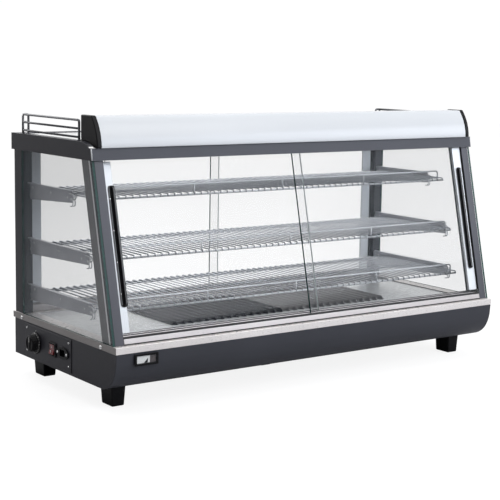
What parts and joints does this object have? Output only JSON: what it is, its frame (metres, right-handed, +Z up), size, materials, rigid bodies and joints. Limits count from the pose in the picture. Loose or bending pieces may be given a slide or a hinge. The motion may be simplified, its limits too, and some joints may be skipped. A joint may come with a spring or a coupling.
{
  "type": "hot food display case",
  "caption": "Countertop heated display case with a slanted glass front, sliding doors front and back, wire shelves over ribbed heat plates and a lit canopy.",
  "frame": {"origin": "on the counter, at the middle of the centre foot's underside, halfway along and halfway deep", "axes": "+X along the case to the right as seen by a customer at the slanted front, +Y from the front to the back, +Z up"},
  "size_m": [1.2233, 0.5292, 0.68],
  "materials": {
    "charcoal_paint": "satin charcoal powder coat",
    "steel_trim": "brushed along its length",
    "bright_steel": "bright, lightly brushed",
    "galvanised": "dull galvanised sheet",
    "white_paint": "satin white",
    "black_plastic": "fine grained, half matt",
    "ribbed_plate": "dark enamelled, ribbed",
    "chrome_wire": "plated wire",
    "bracket_steel": "grey zinc-plated sheet",
    "clear_glass": "polished, clear with a green edge",
    "element_sheath": "heat-dulled sheath",
    "lamp_glass": "opal tube",
    "red_plastic": "translucent red"
  },
  "bodies": {
    "cabinet": {"base_bottom_panel": "galvanised", "base_front_panel": "charcoal_paint", "base_rear_panel": "charcoal_paint", "base_side_panel_left": "charcoal_paint", "base_side_panel_right": "charcoal_paint", "canopy_cover": "white_paint", "canopy_end_cap_left": "black_plastic", "canopy_end_cap_right": "black_plastic", "control_plate": "charcoal_paint", "floor_deck": "bright_steel", "foot_centre": "black_plastic", "foot_front_left": "black_plastic", "foot_front_right": "black_plastic", "foot_rear_left": "black_plastic", "foot_rear_right": "black_plastic", "front_post_left": "charcoal_paint", "front_post_right": "charcoal_paint", "front_track_bottom": "steel_trim", "front_track_top": "galvanised", "gallery_left": "chrome_wire", "gallery_right": "chrome_wire", "heat_plate_left": "ribbed_plate", "heat_plate_right": "ribbed_plate", "heat_shield": "galvanised", "heating_element_left": "element_sheath", "heating_element_right": "element_sheath", "lamp_fixture": "white_paint", "lamp_tube": "lamp_glass", "power_inlet": "black_plastic", "rear_post_left": "charcoal_paint", "rear_post_right": "charcoal_paint", "rear_track_bottom": "steel_trim", "rear_track_top": "galvanised", "roof_panel": "galvanised", "shelf_bottom": "chrome_wire", "shelf_bracket_bottom_left": "bracket_steel", "shelf_bracket_bottom_right": "bracket_steel", "shelf_bracket_middle_left": "bracket_steel", "shelf_bracket_middle_right": "bracket_steel", "shelf_bracket_top_left": "bracket_steel", "shelf_bracket_top_right": "bracket_steel", "shelf_middle": "chrome_wire", "shelf_top": "chrome_wire", "side_glass_left": "clear_glass", "side_glass_right": "clear_glass", "switch_housing": "black_plastic", "thermometer": "black_plastic", "thermostat": "galvanised", "top_frame": "charcoal_paint", "trim_frame": "steel_trim"},
    "front_door_left": {"front_door_left_glass": "clear_glass", "front_door_left_handle": "black_plastic"},
    "front_door_right": {"front_door_right_glass": "clear_glass", "front_door_right_handle": "black_plastic"},
    "rear_door_left": {"rear_door_left_glass": "clear_glass", "rear_door_left_handle": "black_plastic"},
    "rear_door_right": {"rear_door_right_glass": "clear_glass", "rear_door_right_handle": "black_plastic"},
    "knob": {"thermostat_knob": "black_plastic"},
    "rocker": {"switch_rocker": "red_plastic"}
  },
  "joints": [
    {"name": "front_door_left_slide", "type": "slide", "parent": "cabinet", "child": "front_door_left", "axis": [1, 0, 0], "range_m": [0, 0.54]},
    {"name": "front_door_right_slide", "type": "slide", "parent": "cabinet", "child": "front_door_right", "axis": [-1, 0, 0], "range_m": [0, 0.54]},
    {"name": "rear_door_left_slide", "type": "slide", "parent": "cabinet", "child": "rear_door_left", "axis": [1, 0, 0], "range_m": [0, 0.54]},
    {"name": "rear_door_right_slide", "type": "slide", "parent": "cabinet", "child": "rear_door_right", "axis": [-1, 0, 0], "range_m": [0, 0.54]},
    {"name": "knob_turn", "type": "hinge", "parent": "cabinet", "child": "knob", "pos_m": [-0.6018, 0.133, 0.101], "axis": [-1, 0, 0], "range_deg": [0, 270]},
    {"name": "rocker_tip", "type": "hinge", "parent": "cabinet", "child": "rocker", "pos_m": [-0.5998, 0.04, 0.102], "axis": [0, -1, 0], "range_deg": [0, 16]}
  ]
}
